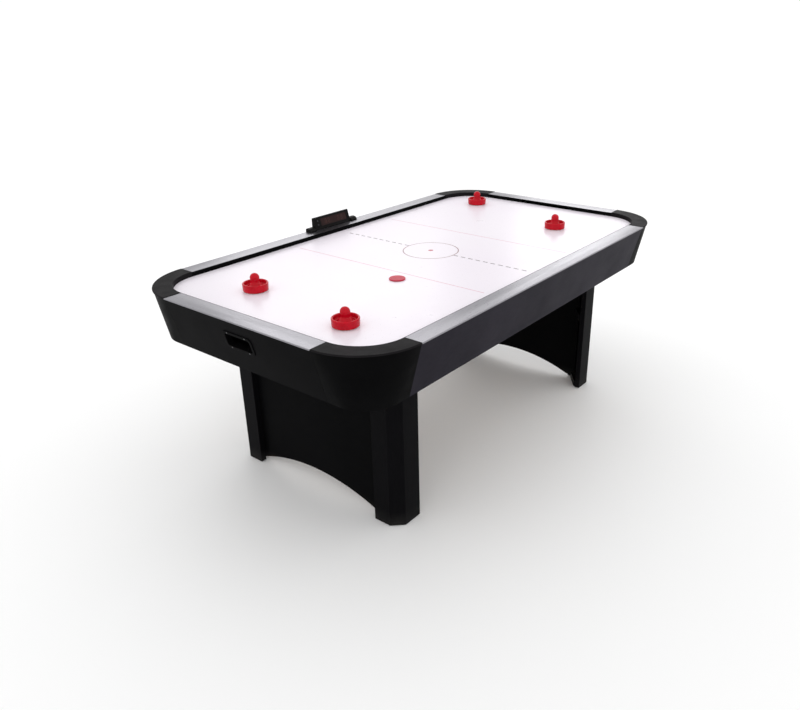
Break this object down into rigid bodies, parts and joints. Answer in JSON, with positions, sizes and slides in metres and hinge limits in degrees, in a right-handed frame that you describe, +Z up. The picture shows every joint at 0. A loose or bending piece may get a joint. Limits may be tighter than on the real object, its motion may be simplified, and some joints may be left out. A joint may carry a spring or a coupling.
{
  "type": "air hockey table",
  "caption": "Full-size air hockey table with lean-in black aprons, aluminium top rails, rounded corners, arched leg panels, rail scorer, strikers and a puck.",
  "frame": {"origin": "on the floor under the middle of the playfield", "axes": "+X along the table towards the far end, +Y across it towards the rail that carries the scorer, +Z up"},
  "size_m": [2.134, 1.219, 0.876],
  "materials": {
    "black_laminate_board": "satin black vinyl laminate over board",
    "black_moulding": "satin moulded plastic",
    "black_cap_moulding": "fine-grained moulded plastic",
    "brushed_aluminium_rail": "brushed, satin anodised",
    "black_rail_core": "satin",
    "white_playfield_laminate": "smooth gloss white laminate",
    "bare_board": "raw fibreboard",
    "black_leg_laminate": "satin black vinyl laminate over board",
    "motor_steel": "grey paint",
    "black_rubber": "matt",
    "zinc_steel": "zinc plated",
    "black_fan_plastic": "moulded",
    "black_tray_plastic": "satin moulded",
    "grey_glide_plastic": "moulded",
    "black_scorer_plastic": "moulded",
    "smoked_window": "smoked gloss",
    "button_plastic": "satin",
    "black_switch_plastic": "semi-gloss",
    "felt_pad": "pressed felt",
    "red_striker_plastic": "gloss moulded",
    "red_puck_plastic": "satin moulded"
  },
  "bodies": {
    "table": {"back_apron": "black_laminate_board", "back_rail": "brushed_aluminium_rail", "back_rail_core": "black_rail_core", "blower_guard": "zinc_steel", "blower_housing": "black_fan_plastic", "blower_motor": "motor_steel", "blower_mounts": "black_rubber", "chamber_floor": "bare_board", "chamber_frame": "bare_board", "corner_cap_far_left": "black_cap_moulding", "corner_cap_far_right": "black_cap_moulding", "corner_cap_near_left": "black_cap_moulding", "corner_cap_near_right": "black_cap_moulding", "corner_panel_far_left": "black_moulding", "corner_panel_far_right": "black_moulding", "corner_panel_near_left": "black_moulding", "corner_panel_near_right": "black_moulding", "far_apron": "black_laminate_board", "far_goal_tray": "black_tray_plastic", "far_rail": "brushed_aluminium_rail", "far_rail_core": "black_rail_core", "far_return_bezel": "black_tray_plastic", "foot_glides": "grey_glide_plastic", "front_apron": "black_laminate_board", "front_rail": "brushed_aluminium_rail", "front_rail_core": "black_rail_core", "leg_bolts": "zinc_steel", "leg_head_rails": "bare_board", "leg_panel_far": "black_leg_laminate", "leg_panel_near": "black_leg_laminate", "leg_post_far_left": "black_leg_laminate", "leg_post_far_right": "black_leg_laminate", "leg_post_near_left": "black_leg_laminate", "leg_post_near_right": "black_leg_laminate", "near_apron": "black_laminate_board", "near_goal_tray": "black_tray_plastic", "near_rail": "brushed_aluminium_rail", "near_rail_core": "black_rail_core", "near_return_bezel": "black_tray_plastic", "playfield": "white_playfield_laminate", "post_blocks": "black_leg_laminate", "power_inlet": "black_switch_plastic", "power_panel": "black_switch_plastic", "scorer_base": "black_scorer_plastic", "scorer_bracket": "black_scorer_plastic", "scorer_housing": "black_scorer_plastic", "scorer_window": "smoked_window"},
    "blower_impeller": {"blower_impeller": "black_fan_plastic"},
    "reset_button": {"scorer_reset_button": "button_plastic"},
    "mode_button": {"scorer_mode_button": "button_plastic"},
    "power_rocker": {"rocker_switch": "black_switch_plastic"},
    "puck": {"puck": "red_puck_plastic"},
    "striker_near_left": {"striker_near_left": "red_striker_plastic", "striker_pad_near_left": "felt_pad"},
    "striker_near_right": {"striker_near_right": "red_striker_plastic", "striker_pad_near_right": "felt_pad"},
    "striker_far_left": {"striker_far_left": "red_striker_plastic", "striker_pad_far_left": "felt_pad"},
    "striker_far_right": {"striker_far_right": "red_striker_plastic", "striker_pad_far_right": "felt_pad"}
  },
  "joints": [
    {"name": "striker_near_left_glide", "type": "slide", "parent": "table", "child": "striker_near_left", "axis": [1, 0, 0], "range_m": [-0.151, 0.727]},
    {"name": "striker_near_right_glide", "type": "slide", "parent": "table", "child": "striker_near_right", "axis": [1, 0, 0], "range_m": [-0.1, 0.778]},
    {"name": "striker_far_left_glide", "type": "slide", "parent": "table", "child": "striker_far_left", "axis": [1, 0, 0], "range_m": [-0.769, 0.109]},
    {"name": "striker_far_right_glide", "type": "slide", "parent": "table", "child": "striker_far_right", "axis": [1, 0, 0], "range_m": [-0.574, 0.304]},
    {"name": "puck_glide", "type": "slide", "parent": "table", "child": "puck", "axis": [1, 0, 0], "range_m": [-0.5793, 1.3353]},
    {"name": "impeller_spin", "type": "hinge", "parent": "table", "child": "blower_impeller", "pos_m": [0, 0, 0.67], "axis": [0, 0, 1], "continuous": true},
    {"name": "reset_press", "type": "slide", "parent": "table", "child": "reset_button", "axis": [0, 0.963, -0.2696], "range_m": [0, 0.0015], "stiffness_N_per_m": 400},
    {"name": "mode_press", "type": "slide", "parent": "table", "child": "mode_button", "axis": [0, 0.963, -0.2696], "range_m": [0, 0.0015], "stiffness_N_per_m": 400},
    {"name": "rocker_tilt", "type": "hinge", "parent": "table", "child": "power_rocker", "pos_m": [0.6, 0.5754, 0.7128], "axis": [1, 0, 0], "range_deg": [0, 16]}
  ]
}
